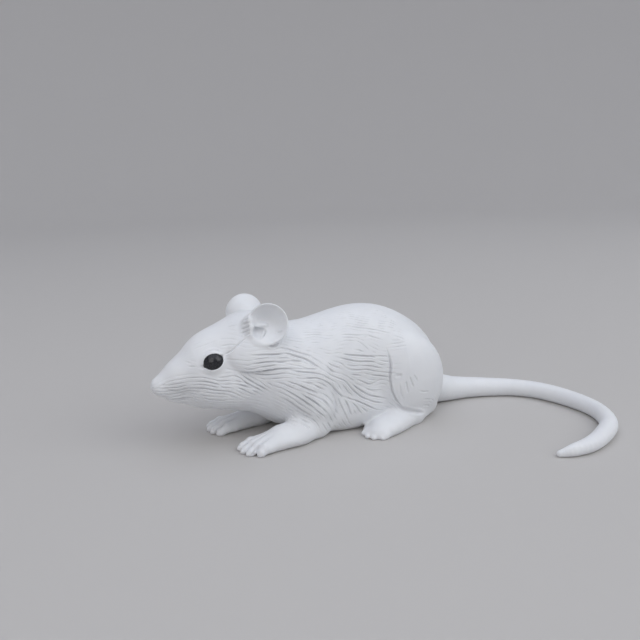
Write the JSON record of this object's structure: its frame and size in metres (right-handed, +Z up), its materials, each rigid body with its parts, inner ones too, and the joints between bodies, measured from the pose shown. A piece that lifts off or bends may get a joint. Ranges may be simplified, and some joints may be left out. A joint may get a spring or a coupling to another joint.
{
  "type": "mouse figurine",
  "caption": "Small crouching mouse figurine of matte white plastic with carved fur, glossy black eyes and a long tail swept round to its left.",
  "frame": {"origin": "on the ground, at the middle of the figurine's own bounding box", "axes": "+X to the nose, +Y to the mouse's left, +Z up"},
  "size_m": [0.0776, 0.0462, 0.0242],
  "materials": {
    "white_plastic": "matte, as printed, with sculpted fur grooves",
    "black_eye": "satin gloss black"
  },
  "bodies": {
    "root": {"head": "white_plastic", "neck": "white_plastic", "trunk": "white_plastic", "ear_left": "white_plastic", "ear_right": "white_plastic", "foreleg_left": "white_plastic", "foreleg_right": "white_plastic", "forepaw_left": "white_plastic", "forepaw_right": "white_plastic", "hind_leg_left": "white_plastic", "hind_leg_right": "white_plastic", "hind_foot_left": "white_plastic", "hind_foot_right": "white_plastic", "tail_base": "white_plastic", "tail_middle": "white_plastic", "tail_tip": "white_plastic", "eye_left": "black_eye", "eye_right": "black_eye"}
  },
  "joints": []
}
